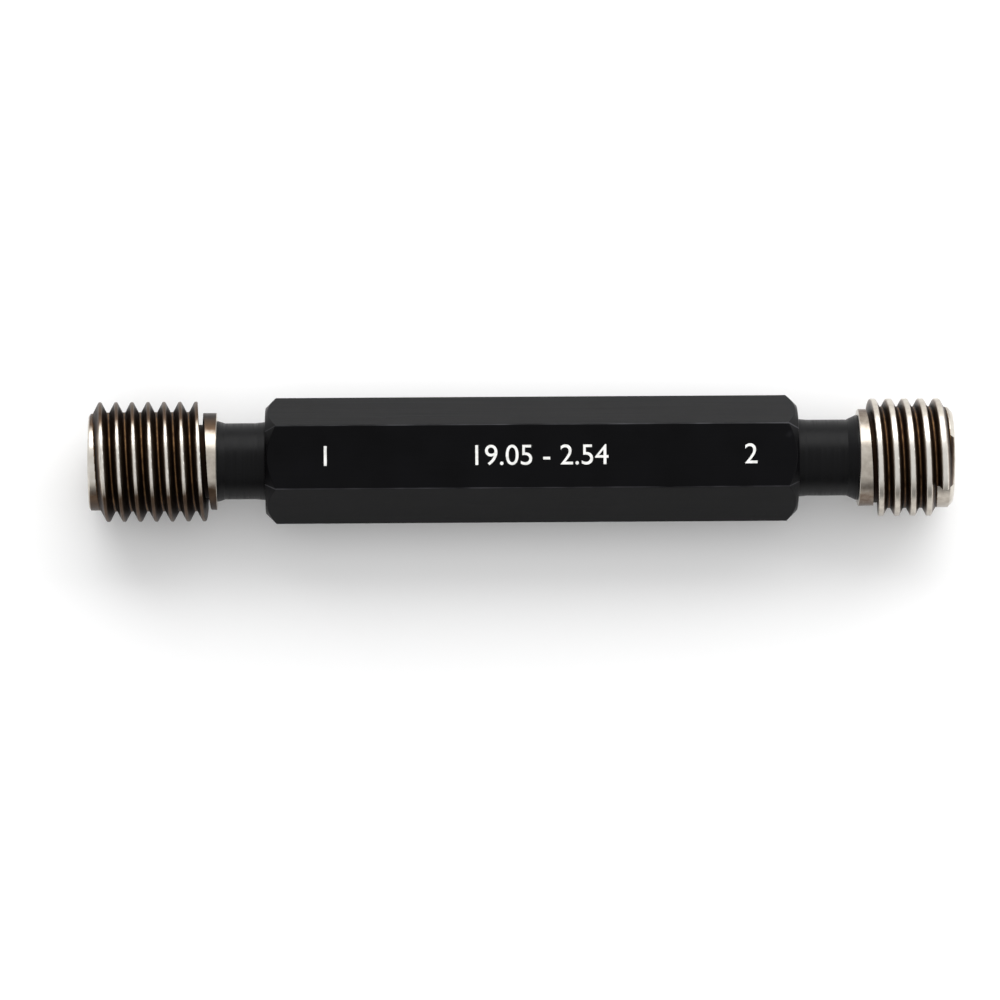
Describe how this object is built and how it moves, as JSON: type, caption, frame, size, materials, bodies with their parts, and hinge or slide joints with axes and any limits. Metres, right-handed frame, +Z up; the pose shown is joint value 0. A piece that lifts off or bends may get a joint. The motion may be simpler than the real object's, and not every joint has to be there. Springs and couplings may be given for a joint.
{
  "type": "thread plug gauge",
  "caption": "Double-ended thread plug gauge with a hexagonal handle, a full-thread GO member and a shorter, truncated NO-GO member.",
  "frame": {"origin": "on the resting plane, under the middle of the overall length", "axes": "+X along the gauge from the GO end to the NO-GO end, +Z up through the marked flat of the handle, +Y across it"},
  "size_m": [0.1372, 0.0202, 0.0191],
  "materials": {
    "handle_steel": "satin black oxide over a drawn hexagonal steel bar",
    "gauge_steel": "turned and ground hardened steel"
  },
  "bodies": {
    "root": {"handle": "handle_steel", "go_member": "gauge_steel", "no_go_member": "gauge_steel"}
  },
  "joints": []
}
